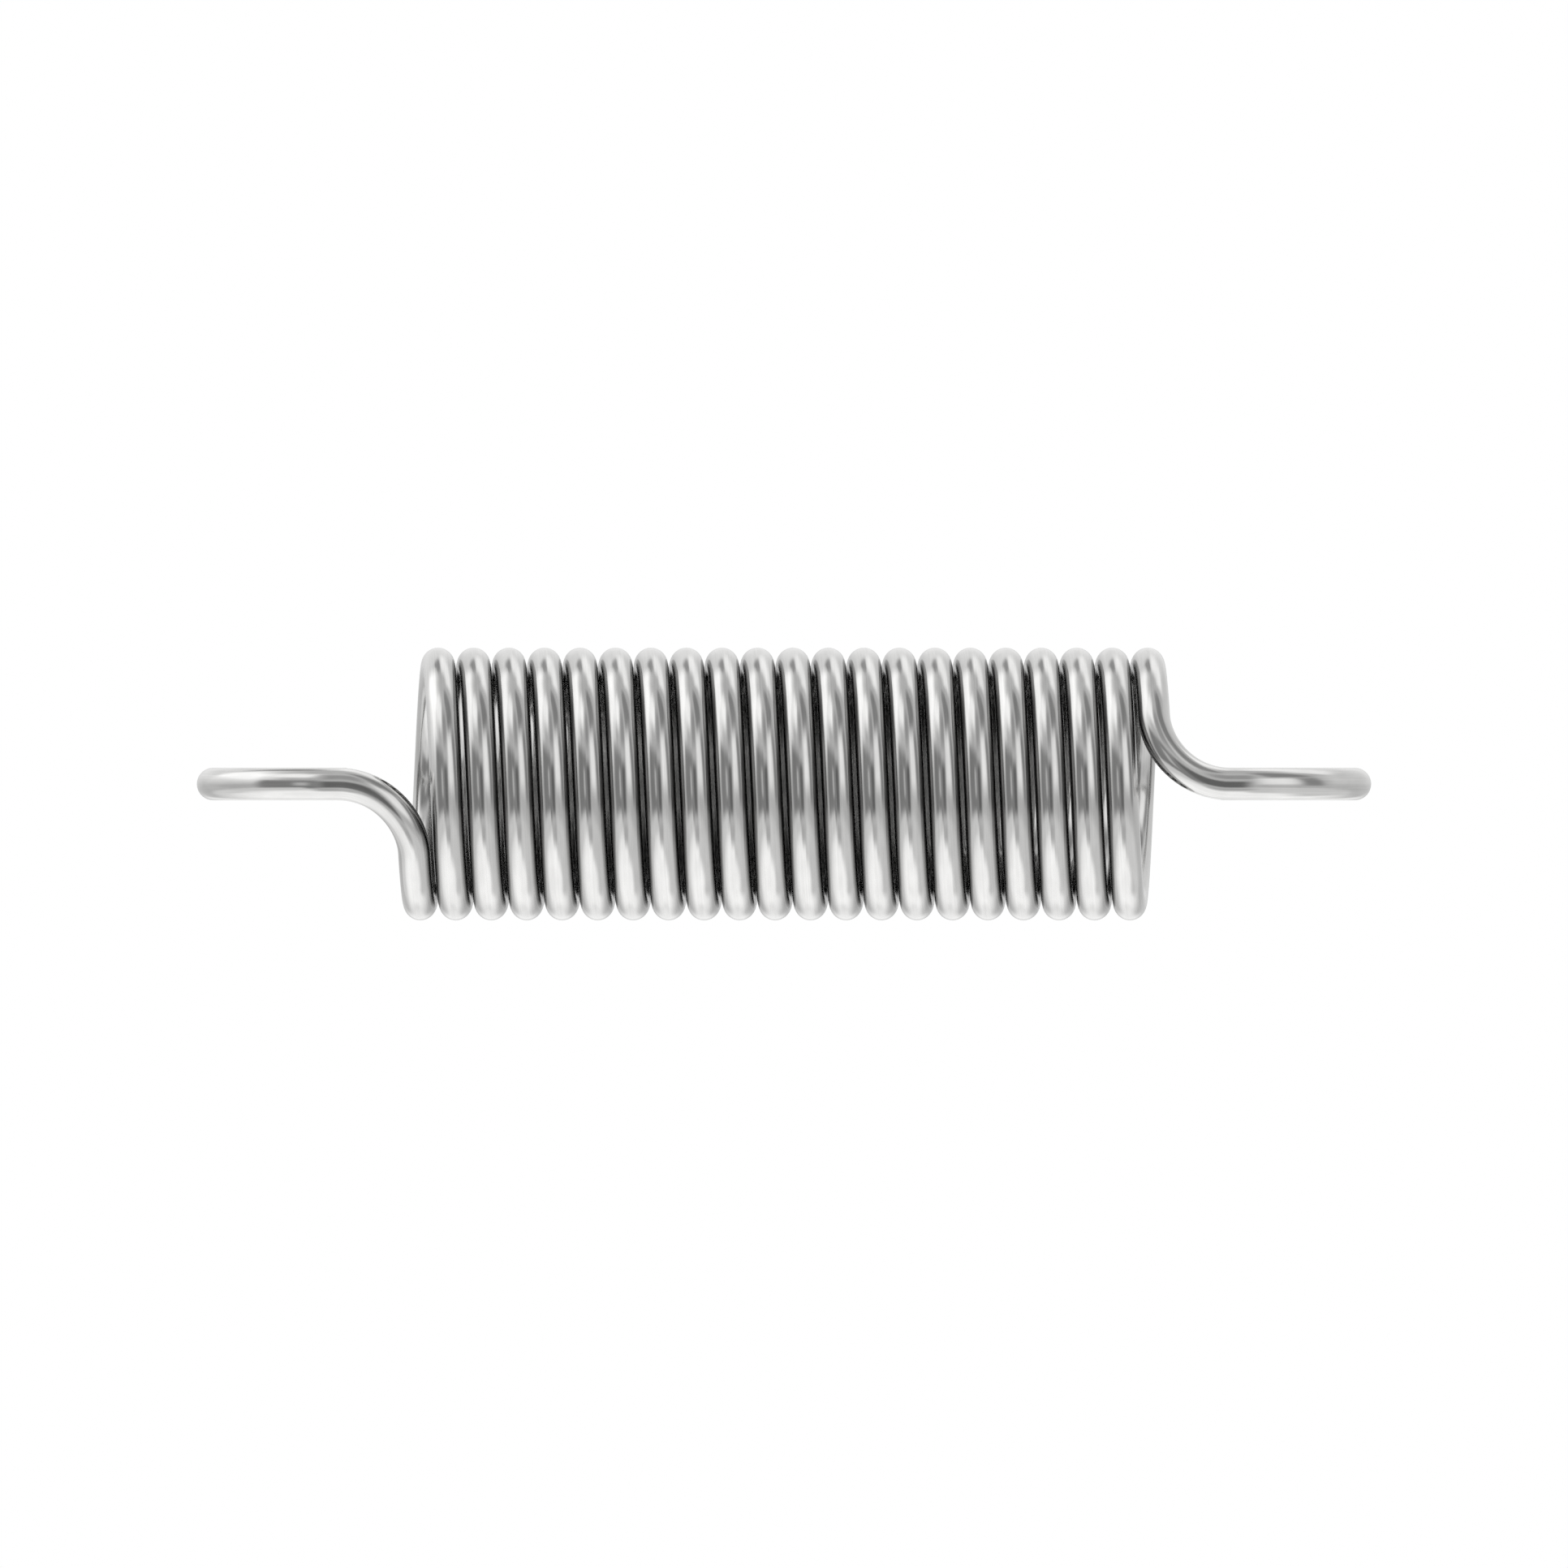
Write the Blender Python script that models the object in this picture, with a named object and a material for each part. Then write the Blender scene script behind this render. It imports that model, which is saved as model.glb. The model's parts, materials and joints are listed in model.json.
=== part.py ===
"""Close-wound extension spring with a hook at each end, cold-wound from one round steel wire.

The axis of the coil lies along +X and the origin is the centre of the left hook's eye. The eyes lie
flat in the XY plane. Seen from -Y the wire runs in front of the coil from the left eye, under the
first turn, and on as a right-handed helix to the right eye, which is the left one turned half a
turn about Y.

The wire is divided into the stretches that stay stiff while the spring works: two hooks, and the
upper and lower half of each turn between them. Turns open by sliding along X where the wire
crosses the back of the coil, and the coil bends sideways about upright axes where the wire
crosses the front. Each half turn is parented to the one before it, so the chain follows the wire.
"""

import math

import bpy
from mathutils import Vector

WIRE_DIAMETER = 0.0020
COIL_MEAN_RADIUS = 0.0074
COIL_PITCH = 0.002186
TURN_COUNT = 21
EYE_MEAN_RADIUS = 0.0074
EYE_TO_COIL = 0.00537  # centre of the eye to the bottom of the first turn, along X
EYE_SWEEP = math.radians(187)  # from the near side, round the tip, to the free end
BEND_RADIUS = 0.0047  # of the wire where it leaves the coil for the eye
CUT_GAP = 0.0003  # between neighbouring stretches of wire
FACET_STEP = math.radians(15)  # of bend for each straight facet
WIRE_BEVEL_RESOLUTION = 2  # eight sides

STEEL_COLOUR = (0.63, 0.62, 0.60, 1.0)
STEEL_ROUGHNESS = 0.22
STEEL_METALLIC = 1.0

QUARTER_TURN = math.pi / 2
END_TRIM = CUT_GAP / 2 / COIL_MEAN_RADIUS  # as an angle on the coil
HELIX_ANGLE = math.atan2(COIL_PITCH, 2 * math.pi * COIL_MEAN_RADIUS)
COIL_LENGTH = (TURN_COUNT - 0.5) * COIL_PITCH  # first bottom crest to last top crest
MIDDLE_X = EYE_TO_COIL + COIL_LENGTH / 2


def on_coil(x, wound):
    """The point on the coil's centre cylinder at x, wound on from the bottom towards the back."""
    return Vector((x, COIL_MEAN_RADIUS * math.sin(wound), -COIL_MEAN_RADIUS * math.cos(wound)))


def helix(wound):
    """The wire's centre at an angle wound on from the bottom of the first turn."""
    return on_coil(EYE_TO_COIL + COIL_PITCH * wound / (2 * math.pi), wound)


def even_steps(first, last):
    """Evenly spaced angles from first to last, about a facet apart."""
    count = round(abs(last - first) / FACET_STEP)
    return [first + (last - first) * n / count for n in range(count + 1)]


def helix_run(first, last):
    """Points along the coil between two angles, short of each by half the gap to the next run."""
    return [helix(wound) for wound in even_steps(first + END_TRIM, last - END_TRIM)]


def hook_run():
    """Points from the left eye's free end, along the wire, to the back of the first turn."""
    joins_coil = BEND_RADIUS * (1 - math.sin(HELIX_ANGLE)) / COIL_MEAN_RADIUS - QUARTER_TURN
    bend_start_x = helix(joins_coil).x - BEND_RADIUS * math.cos(HELIX_ANGLE)
    eye = [
        Vector((-EYE_MEAN_RADIUS * math.sin(turn), -EYE_MEAN_RADIUS * math.cos(turn), 0.0))
        for turn in even_steps(EYE_SWEEP, 0.0)
    ]
    bend = [
        on_coil(
            bend_start_x + BEND_RADIUS * math.sin(turn),
            BEND_RADIUS * (1 - math.cos(turn)) / COIL_MEAN_RADIUS - QUARTER_TURN,
        )
        for turn in even_steps(0.0, QUARTER_TURN - HELIX_ANGLE)
    ]
    coil = [helix(wound) for wound in even_steps(joins_coil, QUARTER_TURN - END_TRIM)]
    return eye + bend + coil[1:]


def turned_end_for_end(points):
    """The same run of wire at the other end of the spring."""
    return [Vector((2 * MIDDLE_X - p.x, p.y, -p.z)) for p in reversed(points)]


def steel(name):
    """Bright drawn spring steel, as its own material for one stretch of wire."""
    material = bpy.data.materials.new(name)
    material.use_nodes = True
    shader = material.node_tree.nodes["Principled BSDF"]
    shader.inputs["Base Color"].default_value = STEEL_COLOUR
    shader.inputs["Roughness"].default_value = STEEL_ROUGHNESS
    shader.inputs["Metallic"].default_value = STEEL_METALLIC
    return material


def wire(name, points, joint, collection, before=None):
    """A stretch of round wire with flat ends, whose origin is its joint with the one before."""
    curve = bpy.data.curves.new(name, "CURVE")
    curve.dimensions = "3D"
    curve.bevel_depth = WIRE_DIAMETER / 2
    curve.bevel_resolution = WIRE_BEVEL_RESOLUTION
    curve.use_fill_caps = True
    curve.materials.append(steel(name))
    spline = curve.splines.new("POLY")
    spline.points.add(len(points) - 1)
    for control, point in zip(spline.points, points):
        control.co = (*(point - joint), 1.0)
    piece = bpy.data.objects.new(name, curve)
    collection.objects.link(piece)
    piece.location = joint
    if before:
        piece.parent = before
        piece.matrix_parent_inverse = before.matrix_world.inverted()
    bpy.context.view_layer.update()
    return piece


def wind_spring(collection):
    """Every stretch of the wire from the left eye to the right one, each hung on the last."""
    left_hook = hook_run()
    piece = wire("left_hook", left_hook, Vector(), collection)
    for turn in range(1, TURN_COUNT):
        back = 2 * math.pi * (turn - 1) + QUARTER_TURN
        front = back + math.pi
        next_back = front + math.pi
        top, bottom = helix_run(back, front), helix_run(front, next_back)
        piece = wire(f"turn_{turn:02d}_top", top, helix(back), collection, piece)
        piece = wire(f"turn_{turn + 1:02d}_bottom", bottom, helix(front), collection, piece)
    wire("right_hook", turned_end_for_end(left_hook), helix(next_back), collection, piece)


for old in list(bpy.data.objects):
    bpy.data.objects.remove(old, do_unlink=True)

spring = bpy.data.collections.new("extension_spring")
bpy.context.scene.collection.children.link(spring)
wind_spring(spring)
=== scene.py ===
"""The looks of the extension spring: one steel wire, swept as a round tube from end to end.

The wire is drawn as a rigid hook at each end and an eighth of a turn at a time in between.
"""
import json
import math
from collections import namedtuple

import bpy
import numpy as np
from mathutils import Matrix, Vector

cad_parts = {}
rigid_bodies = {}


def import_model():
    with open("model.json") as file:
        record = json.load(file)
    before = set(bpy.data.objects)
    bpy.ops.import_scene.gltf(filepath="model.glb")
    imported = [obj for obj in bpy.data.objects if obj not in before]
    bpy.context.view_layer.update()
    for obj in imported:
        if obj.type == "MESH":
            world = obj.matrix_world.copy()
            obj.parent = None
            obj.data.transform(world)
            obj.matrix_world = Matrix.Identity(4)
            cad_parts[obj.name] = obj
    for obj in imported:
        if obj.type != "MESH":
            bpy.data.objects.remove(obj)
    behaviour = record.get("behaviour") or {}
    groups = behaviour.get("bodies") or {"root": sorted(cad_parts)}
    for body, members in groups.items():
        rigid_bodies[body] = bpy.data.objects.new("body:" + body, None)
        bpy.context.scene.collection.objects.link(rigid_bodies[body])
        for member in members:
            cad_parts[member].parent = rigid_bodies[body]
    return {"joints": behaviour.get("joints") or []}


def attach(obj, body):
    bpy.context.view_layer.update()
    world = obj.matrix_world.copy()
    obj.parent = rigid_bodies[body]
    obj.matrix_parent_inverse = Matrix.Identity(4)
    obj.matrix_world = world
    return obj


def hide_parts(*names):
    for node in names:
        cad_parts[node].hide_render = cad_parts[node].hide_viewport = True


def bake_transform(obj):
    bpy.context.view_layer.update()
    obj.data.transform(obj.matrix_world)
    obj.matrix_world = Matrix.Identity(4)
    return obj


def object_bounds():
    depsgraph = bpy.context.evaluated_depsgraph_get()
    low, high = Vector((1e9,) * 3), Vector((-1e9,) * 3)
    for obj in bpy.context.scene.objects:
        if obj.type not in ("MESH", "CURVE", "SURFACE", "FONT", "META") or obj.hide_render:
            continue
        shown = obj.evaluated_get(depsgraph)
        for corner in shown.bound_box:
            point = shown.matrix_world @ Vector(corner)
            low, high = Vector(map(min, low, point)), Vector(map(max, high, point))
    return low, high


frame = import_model()
cad_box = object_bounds()

# The wire, in metres. The coil's own size and place come from the frame's joints.
WIRE_DIAMETER = 0.0020
WIRE_RADIUS = WIRE_DIAMETER / 2
EYE_MEAN_RADIUS = 0.0074
EYE_SWEEP = math.radians(187)
BEND_RADIUS = 0.0047

# The worn edge of a cut end: its length along the wire, its depth as a share of that, and from
# the cut inwards (share of the length, lean of the surface's normals in radians).
CHAMFER_LENGTH = 0.00016
CHAMFER_DEPTH = 0.6
CHAMFER_PROFILE = ((0.0, 0.95), (0.12, 0.62), (0.42, 0.34), (1.0, 0.0))

# How finely the wire is swept, and the angles that it is divided by.
SIDES = 36
RING_SPACING = 0.00034
WHOLE_TURN = 2 * math.pi
QUARTER_TURN = math.pi / 2
EIGHTH_TURN = math.pi / 4
ANGLE_SLACK = 0.01
SAME_WAY = 0.99  # the least cosine between two directions that count as the same

# The steel. Its two noises are read in wire radii round the wire, and in the units given here
# along it: few units a metre make lines, and many make mottling.
STEEL_COLOUR = (0.625, 0.623, 0.618)
DULLEST, BRIGHTEST = 0.93, 1.07
LINE_UNITS_PER_METRE = 14.0
LINE_SCALE = 9.0
LINE_ROUGHNESS = (-0.02, 0.03)
LINE_DEPTH = 0.000002
MOTTLE_UNITS_PER_METRE = 420.0
MOTTLE_SCALE = 1.1
MOTTLE_ROUGHNESS = (0.115, 0.145)

# Painted shade between the turns: its colour, how near the next turn has to be, and how open
# to the air the surface is where the painted shade is full and where it ends.
PAINTED_SHADE_COLOUR = (0.29, 0.289, 0.286)
CREVICE_REACH = 0.002
CREVICE_SAMPLES = 8
PAINTED_SHADE_FULL, PAINTED_SHADE_NONE = 0.52, 1.0

# The torn metal of a cut end.
TORN_BRIGHTNESS = 1.05
TORN_GRAIN_SCALE = 5200.0
TORN_ROUGHNESS = (0.34, 0.52)
TORN_DEPTH = 0.00002

# The table and the camera, in metres.
FLOOR_DROP = 0.070
FLOOR_RADIUS = 1.4
FLOOR_COLOUR = (0.85, 0.85, 0.85, 1)
FLOOR_GLOW = 0.75
CAMERA_HALF_ANGLE = math.radians(0.7)
PICTURE_WIDTH = 0.0966
SENSOR_WIDTH = 36.0

# The room that the steel reflects: the strength of its light from straight below and from
# everywhere else, and between which heights of the direction the one turns into the other.
ROOM_COLOUR = (1.0, 0.999, 0.996, 1)
LIGHT_BELOW = 1.40
LIGHT_ROUND = 0.66
BELOW_ENDS = (-0.88, -0.35)
LIGHT_MAP_WIDTH = 256

# Its soft boxes and dark panels: azimuth, elevation, width, height and soft edge in degrees,
# and brightness.
STUDIO = (
    (180, 35, 80, 60, 25, 1.00),
    (-98, 38, 86, 60, 30, 1.15),
    (-105, 42, 60, 34, 18, 1.60),
    (-48, 58, 52, 26, 18, 1.40),
    (145, 54, 70, 28, 18, 1.30),
    (-161, 57, 28, 22, 12, 0.40),
    (60, 60, 50, 40, 16, 0.32),
    (5, 48, 30, 30, 16, 0.42),
    (39, 19, 36, 42, 20, 1.20),
    (71, 12, 20, 44, 12, 0.35),
    (125, 20, 70, 40, 25, 0.85),
    (-40, -3, 56, 56, 14, 0.30),
    (-27, 0, 12, 22, 8, 0.65),
    (0, -4, 24, 44, 14, 0.18),
    (-85, -31, 120, 16, 10, 0.92),
    (75, -45, 120, 40, 20, 0.88),
    (0, -42, 38, 22, 16, 0.60),
    (180, -34, 26, 44, 14, 1.15),
)

# Which sockets of Blender's Mix node are which, for numbers and for colours.
MIX_SHARE = 0
MIX_NUMBERS = (2, 3)
MIX_NUMBER_OUT = 0
MIX_COLOURS = (6, 7)
MIX_COLOUR_OUT = 2


# ---------------------------------------------------------------- the coil, from the frame's joints

def joints_called(start):
    found = [joint for joint in frame["joints"] if joint["name"].startswith(start)]
    return sorted(found, key=lambda joint: joint["name"])


# Each turn has a slide, and there is a hinge wherever the wire crosses the front of the coil.
slides = joints_called("stretch_")
front_crossings = [Vector(joint["pos_m"]) for joint in joints_called("bend_")]

TURNS = len(slides)
COIL_RADIUS = -front_crossings[0].y
PITCH = (front_crossings[-1].x - front_crossings[0].x) / (len(front_crossings) - 1)
COIL_START = front_crossings[0].x - 0.75 * PITCH
COIL_SWEEP = (TURNS - 0.5) * WHOLE_TURN
MIDDLE_X = COIL_START + (TURNS - 0.5) * PITCH / 2
HELIX_ANGLE = math.atan2(PITCH, WHOLE_TURN * COIL_RADIUS)
LENGTH_PER_RADIAN = math.hypot(COIL_RADIUS, PITCH / WHOLE_TURN)


# ---------------------------------------------------------------- the wire's path

def on_cylinder(x, turned):
    """A point of the coil's cylinder, with the way out from its axis. turned is 0 at the bottom."""
    outward = Vector((0, math.sin(turned), -math.cos(turned)))
    return Vector((x, 0, 0)) + COIL_RADIUS * outward, outward


def on_helix(turned):
    return on_cylinder(COIL_START + PITCH * turned / WHOLE_TURN, turned)


def on_eye(turned):
    """A point of the left eye, with the way out from its centre. turned is 0 where the eye ends."""
    outward = Vector((-math.sin(turned), -math.cos(turned), 0))
    return EYE_MEAN_RADIUS * outward, outward


def steps(start, end, spacing):
    """Evenly spaced values from start up to, but not including, end."""
    count = max(1, math.ceil(abs(end - start) / spacing))
    return [start + (end - start) * i / count for i in range(count)]


def left_hook_path():
    """The left hook from its cut end, round the eye and down the bend to the coil's bottom."""
    bend_end = QUARTER_TURN - HELIX_ANGLE
    joins = BEND_RADIUS * (1 - math.sin(HELIX_ANGLE)) / COIL_RADIUS - QUARTER_TURN
    joins_x = COIL_START + PITCH * joins / WHOLE_TURN
    bend_start_x = joins_x - BEND_RADIUS * math.cos(HELIX_ANGLE)

    path = [on_eye(turned) for turned in steps(EYE_SWEEP, 0, RING_SPACING / EYE_MEAN_RADIUS)]
    path += [on_cylinder(x, -QUARTER_TURN) for x in steps(0, bend_start_x, RING_SPACING)]
    for bent in steps(0, bend_end, RING_SPACING / BEND_RADIUS):
        turned = BEND_RADIUS * (1 - math.cos(bent)) / COIL_RADIUS - QUARTER_TURN
        path.append(on_cylinder(bend_start_x + BEND_RADIUS * math.sin(bent), turned))
    return path + coil_path(joins, 0)


def end_for_end(path):
    """The same path on the spring's other end: turned half round about the view direction."""
    turned = []
    for place, outward in path:
        other_place = Vector((2 * MIDDLE_X - place.x, place.y, -place.z))
        other_outward = Vector((-outward.x, outward.y, -outward.z))
        turned.append((other_place, other_outward))
    return turned[::-1]


def coil_path(start, end):
    path = [on_helix(turned) for turned in steps(start, end, RING_SPACING / COIL_RADIUS)]
    path.append(on_helix(end))
    return path


def path_length(path):
    return sum((b[0] - a[0]).length for a, b in zip(path, path[1:]))


# ---------------------------------------------------------------- sweeping the wire

# lean is how far the surface's normals tip along the wire, in radians.
Ring = namedtuple("Ring", "centre outward sideways along radius lean distance")


def directions_of(path):
    """The wire's direction at each point, square to the way out."""
    found = []
    for i, (_, outward) in enumerate(path):
        before = path[max(i - 1, 0)][0]
        after = path[min(i + 1, len(path) - 1)][0]
        along = after - before
        along -= along.dot(outward) * outward
        found.append(along.normalized())
    return found


def exact_ends(path, directions):
    """On the coil the wire's direction is known exactly, so that pieces meet squarely there."""
    axis = Vector((1, 0, 0))
    for i in (0, -1):
        around = axis.cross(path[i][1])
        on_coil = math.sin(HELIX_ANGLE) * axis + math.cos(HELIX_ANGLE) * around
        if directions[i].dot(on_coil) > SAME_WAY:
            directions[i] = on_coil
    return directions


def worn_ring(end, inwards, share, lean):
    """A ring of a cut end's worn edge. inwards is 1 or -1: the way from the cut into the wire."""
    return end._replace(
        centre=end.centre + inwards * share * CHAMFER_LENGTH * end.along,
        radius=WIRE_RADIUS - CHAMFER_DEPTH * CHAMFER_LENGTH * (1 - share) ** 2,
        lean=-inwards * lean,
        distance=end.distance + inwards * share * CHAMFER_LENGTH,
    )


def rings_of(path, cut_at):
    """A ring at each point of the path. The cut end's one becomes the rings of its worn edge."""
    directions = exact_ends(path, directions_of(path))
    rings = []
    distance = 0.0
    for i, (centre, outward) in enumerate(path):
        if i:
            distance += (centre - path[i - 1][0]).length
        along = directions[i]
        rings.append(Ring(centre, outward, along.cross(outward), along, WIRE_RADIUS, 0.0, distance))

    if cut_at == "start":
        worn = [worn_ring(rings[0], 1, *step) for step in CHAMFER_PROFILE]
        return worn + rings[1:]
    if cut_at == "end":
        worn = [worn_ring(rings[-1], -1, *step) for step in CHAMFER_PROFILE]
        return rings[:-1] + worn[::-1]
    return rings


def sweep(name, path, distance_before=0.0, cut_at=None):
    """A closed round tube along the path, with exact normals and a map of distance and angle.
    cut_at is "start" or "end" where the path starts or ends at a cut end of the wire."""
    rings = rings_of(path, cut_at)
    angles = [math.pi + WHOLE_TURN * side / SIDES for side in range(SIDES)]
    verts, normals = [], []
    for ring in rings:
        for angle in angles:
            out = math.cos(angle) * ring.outward + math.sin(angle) * ring.sideways
            verts.append(ring.centre + ring.radius * out)
            leaning = math.cos(ring.lean) * out + math.sin(ring.lean) * ring.along
            normals.append(leaning.normalized())

    faces, uvs, corner_normals = [], [], []
    for i in range(len(rings) - 1):
        near = distance_before + rings[i].distance
        far = distance_before + rings[i + 1].distance
        this_ring, next_ring = i * SIDES, (i + 1) * SIDES
        for side in range(SIDES):
            after = (side + 1) % SIDES
            low, high = side / SIDES, (side + 1) / SIDES
            corners = [this_ring + side, this_ring + after, next_ring + after, next_ring + side]
            faces.append(corners)
            corner_normals += [normals[corner] for corner in corners]
            uvs += [(near, low), (near, high), (far, high), (far, low)]
    side_faces = len(faces)

    circle = [(0.5 + 0.5 * math.cos(angle), 0.5 + 0.5 * math.sin(angle)) for angle in angles]
    for i, facing in ((0, -1), (len(rings) - 1, 1)):
        corners = [i * SIDES + side for side in range(SIDES)]
        faces.append(corners[::facing])
        corner_normals += [facing * rings[i].along] * SIDES
        uvs += circle[::facing]

    mesh = bpy.data.meshes.new(name)
    mesh.from_pydata(verts, [], faces)
    mesh.uv_layers.new(name="wire").data.foreach_set("uv", np.array(uvs, np.float32).ravel())
    mesh.polygons.foreach_set("use_smooth", [True] * side_faces + [False] * 2)
    mesh.normals_split_custom_set([tuple(normal) for normal in corner_normals])
    mesh.materials.append(steel)
    if cut_at:
        mesh.materials.append(cut_steel)
        cut_face = side_faces if cut_at == "start" else side_faces + 1
        mesh.polygons[cut_face].material_index = 1
    mesh.update()

    piece = bpy.data.objects.new(name, mesh)
    bpy.context.scene.collection.objects.link(piece)
    return piece


# ---------------------------------------------------------------- materials

def node(tree, kind, **settings):
    made = tree.nodes.new(kind)
    for key, value in settings.items():
        setattr(made, key, value)
    return made


def link(tree, source, target):
    tree.links.new(source, target)


def math_node(tree, operation, first, second=None):
    made = node(tree, "ShaderNodeMath", operation=operation)
    for socket, value in zip(made.inputs, (first, second)):
        if isinstance(value, (int, float)):
            socket.default_value = value
        elif value is not None:
            link(tree, value, socket)
    return made.outputs[0]


def noise(tree, vector, scale, detail, roughness=0.5):
    made = node(tree, "ShaderNodeTexNoise")
    made.inputs["Scale"].default_value = scale
    made.inputs["Detail"].default_value = detail
    made.inputs["Roughness"].default_value = roughness
    link(tree, vector, made.inputs["Vector"])
    return made.outputs["Fac"]


def fit(tree, value, low, high, out_low, out_high):
    """value taken from low..high to out_low..out_high, smoothly and clamped."""
    made = node(tree, "ShaderNodeMapRange", interpolation_type="SMOOTHSTEP")
    for socket, number in zip(list(made.inputs)[1:5], (low, high, out_low, out_high)):
        socket.default_value = number
    link(tree, value, made.inputs[0])
    return made.outputs[0]


def mix_colours(tree, share, first, second):
    """first where share is 0 and second where it is 1. Each is a socket, or three numbers."""
    made = node(tree, "ShaderNodeMix", data_type="RGBA")
    link(tree, share, made.inputs[MIX_SHARE])
    for socket, colour in zip(MIX_COLOURS, (first, second)):
        if isinstance(colour, tuple):
            made.inputs[socket].default_value = (*colour, 1)
        else:
            link(tree, colour, made.inputs[socket])
    return made.outputs[MIX_COLOUR_OUT]


def steel_shade(brightness):
    return tuple(brightness * channel for channel in STEEL_COLOUR)


def add_bump(tree, shader, height, strength, depth):
    bump = node(tree, "ShaderNodeBump")
    bump.inputs["Strength"].default_value = strength
    bump.inputs["Distance"].default_value = depth
    link(tree, height, bump.inputs["Height"])
    link(tree, bump.outputs[0], shader.inputs["Normal"])


def along_and_round(tree, units_per_metre):
    """A place on the wire that has no seam: round the wire in wire radii, and along it in the
    units given."""
    uv = node(tree, "ShaderNodeUVMap", uv_map="wire")
    parts = node(tree, "ShaderNodeSeparateXYZ")
    link(tree, uv.outputs[0], parts.inputs[0])
    angle = math_node(tree, "MULTIPLY", parts.outputs[1], WHOLE_TURN)
    place = node(tree, "ShaderNodeCombineXYZ")
    link(tree, math_node(tree, "COSINE", angle), place.inputs[0])
    link(tree, math_node(tree, "SINE", angle), place.inputs[1])
    link(tree, math_node(tree, "MULTIPLY", parts.outputs[0], units_per_metre), place.inputs[2])
    return place.outputs[0]


def new_material(name):
    material = bpy.data.materials.new(name)
    material.use_nodes = True
    return material, material.node_tree, material.node_tree.nodes["Principled BSDF"]


def painted_crevice_shade(tree, colour):
    """Darkens the colour where turns close on each other: painted shade, standing in for the
    shade that the turns cast on each other there."""
    openness = node(tree, "ShaderNodeAmbientOcclusion", samples=CREVICE_SAMPLES)
    openness.inputs["Distance"].default_value = CREVICE_REACH
    unshaded = fit(tree, openness.outputs["AO"], PAINTED_SHADE_FULL, PAINTED_SHADE_NONE, 0.0, 1.0)
    return mix_colours(tree, unshaded, PAINTED_SHADE_COLOUR, colour)


def drawn_steel():
    """Polished drawn wire: fine lines along it from the die, faint mottling, and a soft gloss."""
    material, tree, shader = new_material("drawn_spring_steel")
    shader.inputs["Metallic"].default_value = 1.0
    line_place = along_and_round(tree, LINE_UNITS_PER_METRE)
    lines = noise(tree, line_place, LINE_SCALE, detail=4.0, roughness=0.6)
    mottle = noise(tree, along_and_round(tree, MOTTLE_UNITS_PER_METRE), MOTTLE_SCALE, detail=3.0)

    half_lines = math_node(tree, "MULTIPLY", lines, 0.5)
    half_mottle = math_node(tree, "MULTIPLY", mottle, 0.5)
    shade = fit(tree, math_node(tree, "ADD", half_lines, half_mottle), 0.35, 0.65, 0.0, 1.0)
    colour = mix_colours(tree, shade, steel_shade(DULLEST), steel_shade(BRIGHTEST))
    # Painted shade: the steel's colour is darkened between the turns, where they shade each other.
    link(tree, painted_crevice_shade(tree, colour), shader.inputs["Base Color"])

    line_gloss = fit(tree, lines, 0.3, 0.7, *LINE_ROUGHNESS)
    mottle_gloss = fit(tree, mottle, 0.35, 0.7, *MOTTLE_ROUGHNESS)
    link(tree, math_node(tree, "ADD", line_gloss, mottle_gloss), shader.inputs["Roughness"])
    add_bump(tree, shader, lines, strength=0.5, depth=LINE_DEPTH)
    return material


def sheared_steel():
    """The cut end: bright torn metal, rougher than the drawn skin."""
    material, tree, shader = new_material("sheared_spring_steel")
    shader.inputs["Metallic"].default_value = 1.0
    shader.inputs["Base Color"].default_value = (*steel_shade(TORN_BRIGHTNESS), 1)
    place = node(tree, "ShaderNodeTexCoord").outputs["Object"]
    grain = noise(tree, place, TORN_GRAIN_SCALE, detail=3.0)
    link(tree, fit(tree, grain, 0.3, 0.7, *TORN_ROUGHNESS), shader.inputs["Roughness"])
    add_bump(tree, shader, grain, strength=0.6, depth=TORN_DEPTH)
    return material


# ---------------------------------------------------------------- the spring

def make_hooks():
    """Both hooks, each with the end of the coil. Returns the length of wire in one of them."""
    path = left_hook_path()
    length = path_length(path)
    left = sweep("wire_left_hook", path, cut_at="start")
    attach(left, "left_hook")
    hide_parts("left_hook")

    coil_end = length + COIL_SWEEP * LENGTH_PER_RADIAN
    right = sweep("wire_right_hook", end_for_end(path), coil_end, cut_at="end")
    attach(right, "right_hook")
    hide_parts("right_hook")
    return length


def ease(piece, start, end):
    """Bakes the piece's placement into its mesh. The points at start and end are found on the helix
    but are not used."""
    first, last = on_helix(start)[0], on_helix(end)[0]
    first.x = last.x = 0
    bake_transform(piece)


def sweep_coil(name, start, end, distance_before):
    return sweep(name, coil_path(start, end), distance_before + start * LENGTH_PER_RADIAN)


def make_front(number, distance_before):
    """The eighth of a turn at the front, where the coil bends between this turn and the next."""
    middle = WHOLE_TURN * number - QUARTER_TURN
    start, end = middle - EIGHTH_TURN / 2, middle + EIGHTH_TURN / 2
    piece = sweep_coil(f"wire_front_{number:02d}", start, end, distance_before)
    before, after = slides[number - 1]["child"], slides[number]["parent"]
    ease(piece, start, end)
    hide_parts(before, after)


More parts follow.
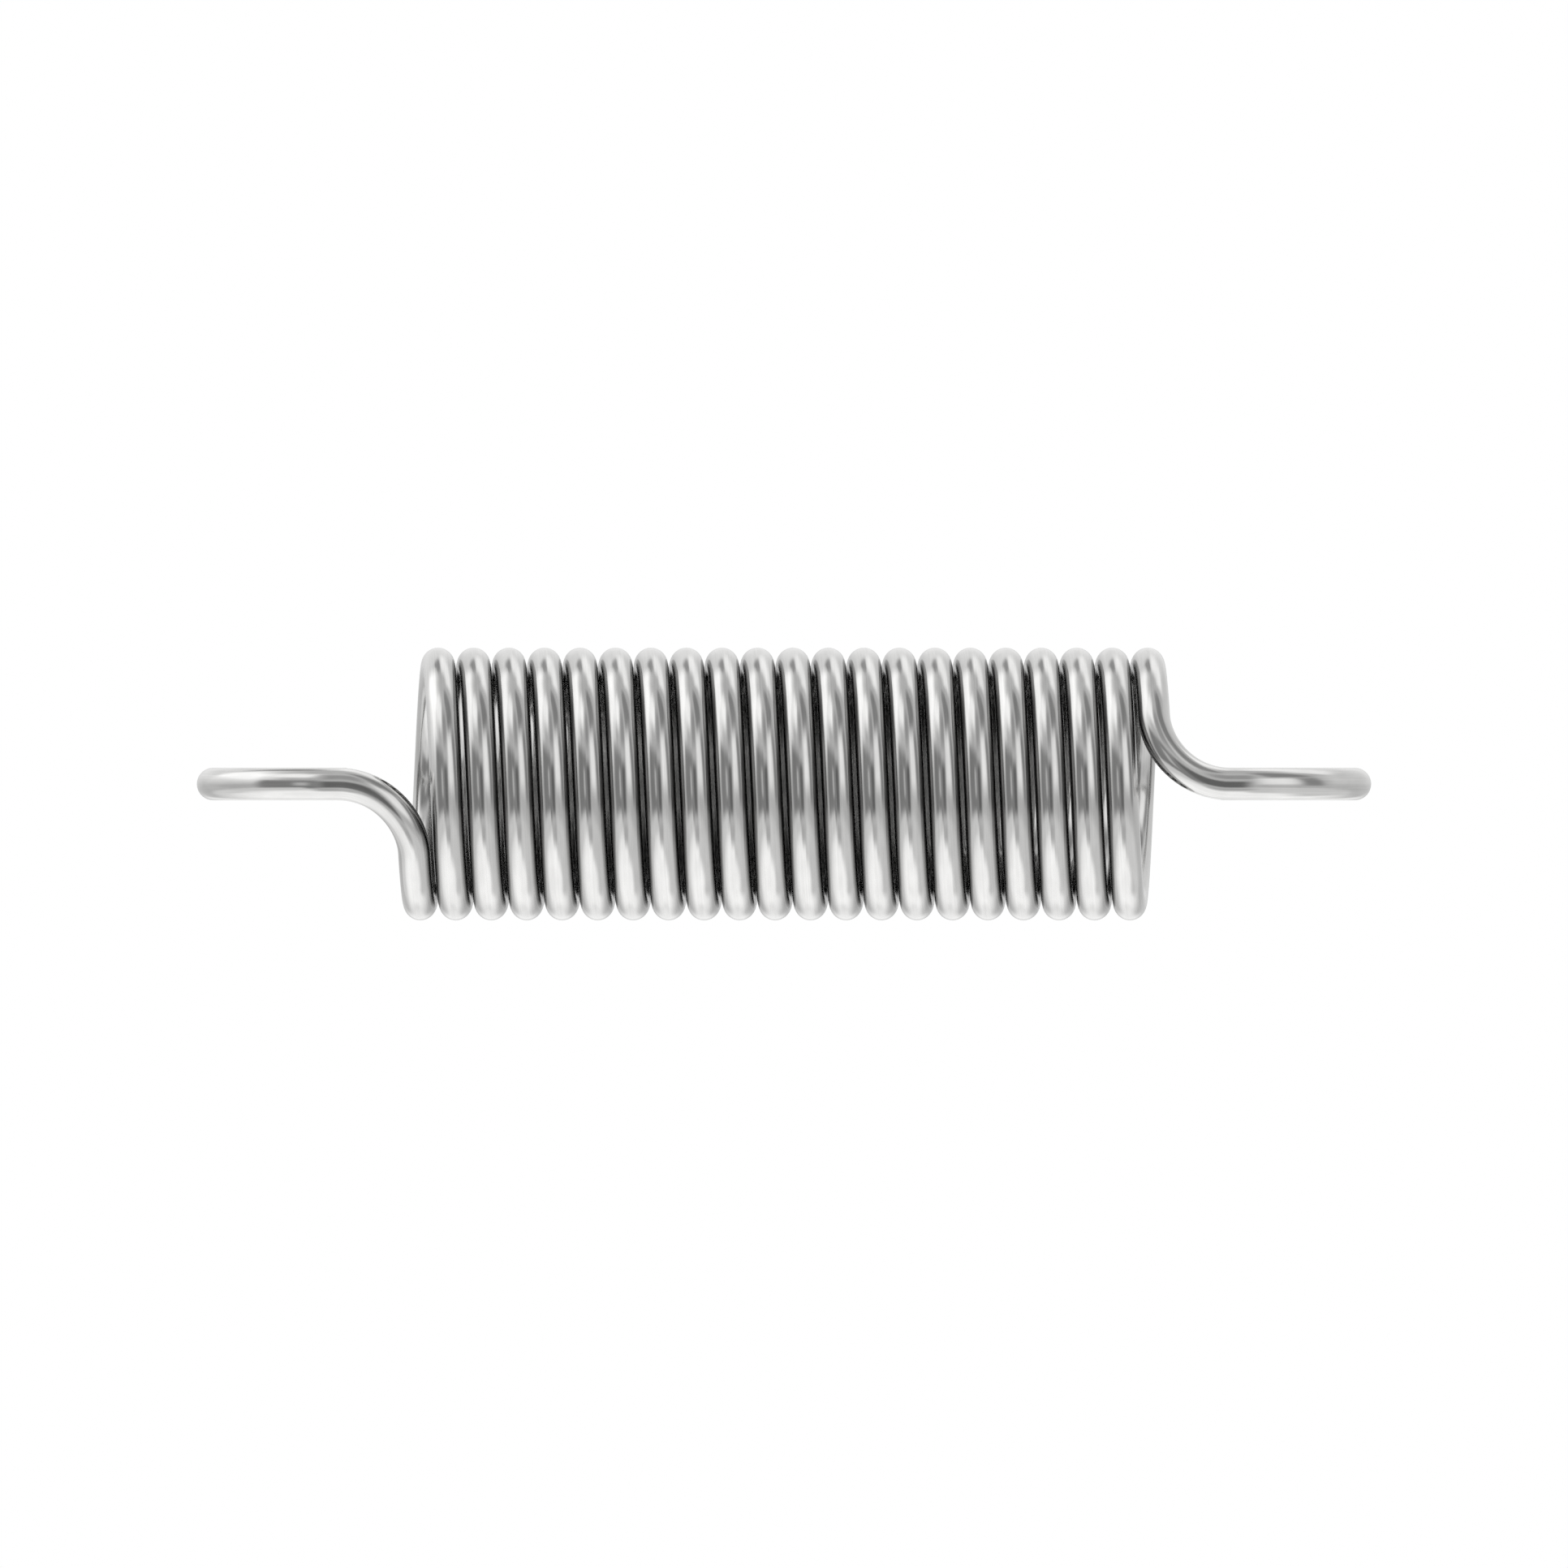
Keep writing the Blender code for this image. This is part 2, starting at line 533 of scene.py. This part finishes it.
def make_rest_of_turn(number, distance_before):
    """The wire of one turn from just past its front round to just before the next."""
    slide = slides[number - 1]
    turn_start = WHOLE_TURN * (number - 1) - QUARTER_TURN + EIGHTH_TURN / 2
    turn_end = WHOLE_TURN * number - QUARTER_TURN - EIGHTH_TURN / 2
    if number == 1:
        turn_start = 0.0
    if number == TURNS:
        turn_end = COIL_SWEEP
    back = WHOLE_TURN * (number - 1) + QUARTER_TURN
    count = math.ceil((turn_end - turn_start) / EIGHTH_TURN - ANGLE_SLACK)
    step = (turn_end - turn_start) / count
    for i in range(count):
        start = turn_start + i * step
        end = start + step
        piece = sweep_coil(f"wire_turn_{number:02d}_{i + 1}", start, end, distance_before)
        ease(piece, start, end)
        if start < back - ANGLE_SLACK:
            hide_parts(slide["parent"])
        if end > back + ANGLE_SLACK:
            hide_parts(slide["child"])


def make_coil(distance_before):
    for number in range(1, TURNS + 1):
        make_rest_of_turn(number, distance_before)
        if number < TURNS:
            make_front(number, distance_before)


# ---------------------------------------------------------------- the studio

def soft_box(tree, direction, under, azimuth, elevation, width, height, soft, brightness):
    """Paints a soft-edged bright or dark panel on the surroundings, over what is there already.
    Angles are in degrees from the spring: azimuth 0 is towards the camera, 90 to the right."""
    turned = node(tree, "ShaderNodeVectorRotate", rotation_type="Z_AXIS")
    turned.inputs["Angle"].default_value = -math.radians(azimuth)
    link(tree, direction, turned.inputs["Vector"])
    parts = node(tree, "ShaderNodeSeparateXYZ")
    link(tree, turned.outputs[0], parts.inputs[0])
    towards = math_node(tree, "MULTIPLY", parts.outputs[1], -1.0)
    across = math_node(tree, "ARCTAN2", parts.outputs[0], towards)
    up = math_node(tree, "ARCSINE", parts.outputs[2])
    masks = []
    for value, middle, half in ((across, 0.0, width / 2), (up, elevation, height / 2)):
        from_middle = math_node(tree, "SUBTRACT", value, math.radians(middle))
        off = math_node(tree, "ABSOLUTE", from_middle)
        inner, outer = math.radians(half - soft / 2), math.radians(half + soft / 2)
        masks.append(fit(tree, off, inner, outer, 1.0, 0.0))

    mix = node(tree, "ShaderNodeMix", data_type="FLOAT")
    link(tree, math_node(tree, "MULTIPLY", *masks), mix.inputs[MIX_SHARE])
    link(tree, under, mix.inputs[MIX_NUMBERS[0]])
    mix.inputs[MIX_NUMBERS[1]].default_value = brightness
    return mix.outputs[MIX_NUMBER_OUT]


def make_surroundings():
    """A white room for the camera, and for the steel a grey room that is pale below, with the
    studio's soft boxes and dark panels round it."""
    world = bpy.data.worlds.new("studio")
    bpy.context.scene.world = world
    world.use_nodes = True
    world.cycles.sampling_method = "MANUAL"
    world.cycles.sample_map_resolution = LIGHT_MAP_WIDTH
    tree = world.node_tree
    tree.nodes.clear()
    direction = node(tree, "ShaderNodeTexCoord").outputs["Generated"]
    parts = node(tree, "ShaderNodeSeparateXYZ")
    link(tree, direction, parts.inputs[0])
    light = fit(tree, parts.outputs[2], *BELOW_ENDS, LIGHT_BELOW, LIGHT_ROUND)
    for box in STUDIO:
        light = soft_box(tree, direction, light, *box)

    seen = node(tree, "ShaderNodeLightPath").outputs["Is Camera Ray"]
    room = node(tree, "ShaderNodeBackground")
    room.inputs["Color"].default_value = ROOM_COLOUR
    link(tree, light, room.inputs["Strength"])
    white = node(tree, "ShaderNodeBackground")
    white.inputs["Strength"].default_value = 1.0
    white.inputs["Color"].default_value = (1, 1, 1, 1)
    mix = node(tree, "ShaderNodeMixShader")
    link(tree, seen, mix.inputs[0])
    link(tree, room.outputs[0], mix.inputs[1])
    link(tree, white.outputs[0], mix.inputs[2])
    link(tree, mix.outputs[0], node(tree, "ShaderNodeOutputWorld").inputs["Surface"])


def make_floor():
    """A pale lit table well below the spring, too far down for a contact shadow."""
    bpy.ops.mesh.primitive_circle_add(vertices=96, radius=FLOOR_RADIUS, fill_type="NGON")
    floor = bpy.context.object
    floor.name = "floor"
    floor.location = (MIDDLE_X, 0, cad_box[0].z - FLOOR_DROP)
    material, _, shader = new_material("pale_table")
    shader.inputs["Base Color"].default_value = FLOOR_COLOUR
    shader.inputs["Roughness"].default_value = 0.9
    shader.inputs["Emission Color"].default_value = (1, 1, 1, 1)
    shader.inputs["Emission Strength"].default_value = FLOOR_GLOW
    floor.data.materials.append(material)
    floor.visible_glossy = False


def make_camera():
    """A long lens level with the spring's axis and square to it, with almost no perspective."""
    data = bpy.data.cameras.new("camera")
    data.sensor_width = SENSOR_WIDTH
    data.lens = SENSOR_WIDTH / 2 / math.tan(CAMERA_HALF_ANGLE)
    distance = PICTURE_WIDTH / 2 / math.tan(CAMERA_HALF_ANGLE)
    data.clip_start = distance / 10
    data.clip_end = distance * 3
    camera = bpy.data.objects.new("camera", data)
    bpy.context.scene.collection.objects.link(camera)
    camera.location = (MIDDLE_X, -distance, 0)
    camera.rotation_euler = (math.pi / 2, 0, 0)
    bpy.context.scene.camera = camera


bpy.context.scene.view_settings.view_transform = "Standard"
steel = drawn_steel()
cut_steel = sheared_steel()
make_camera()
hook_length = make_hooks()
make_coil(hook_length)
make_floor()
make_surroundings()
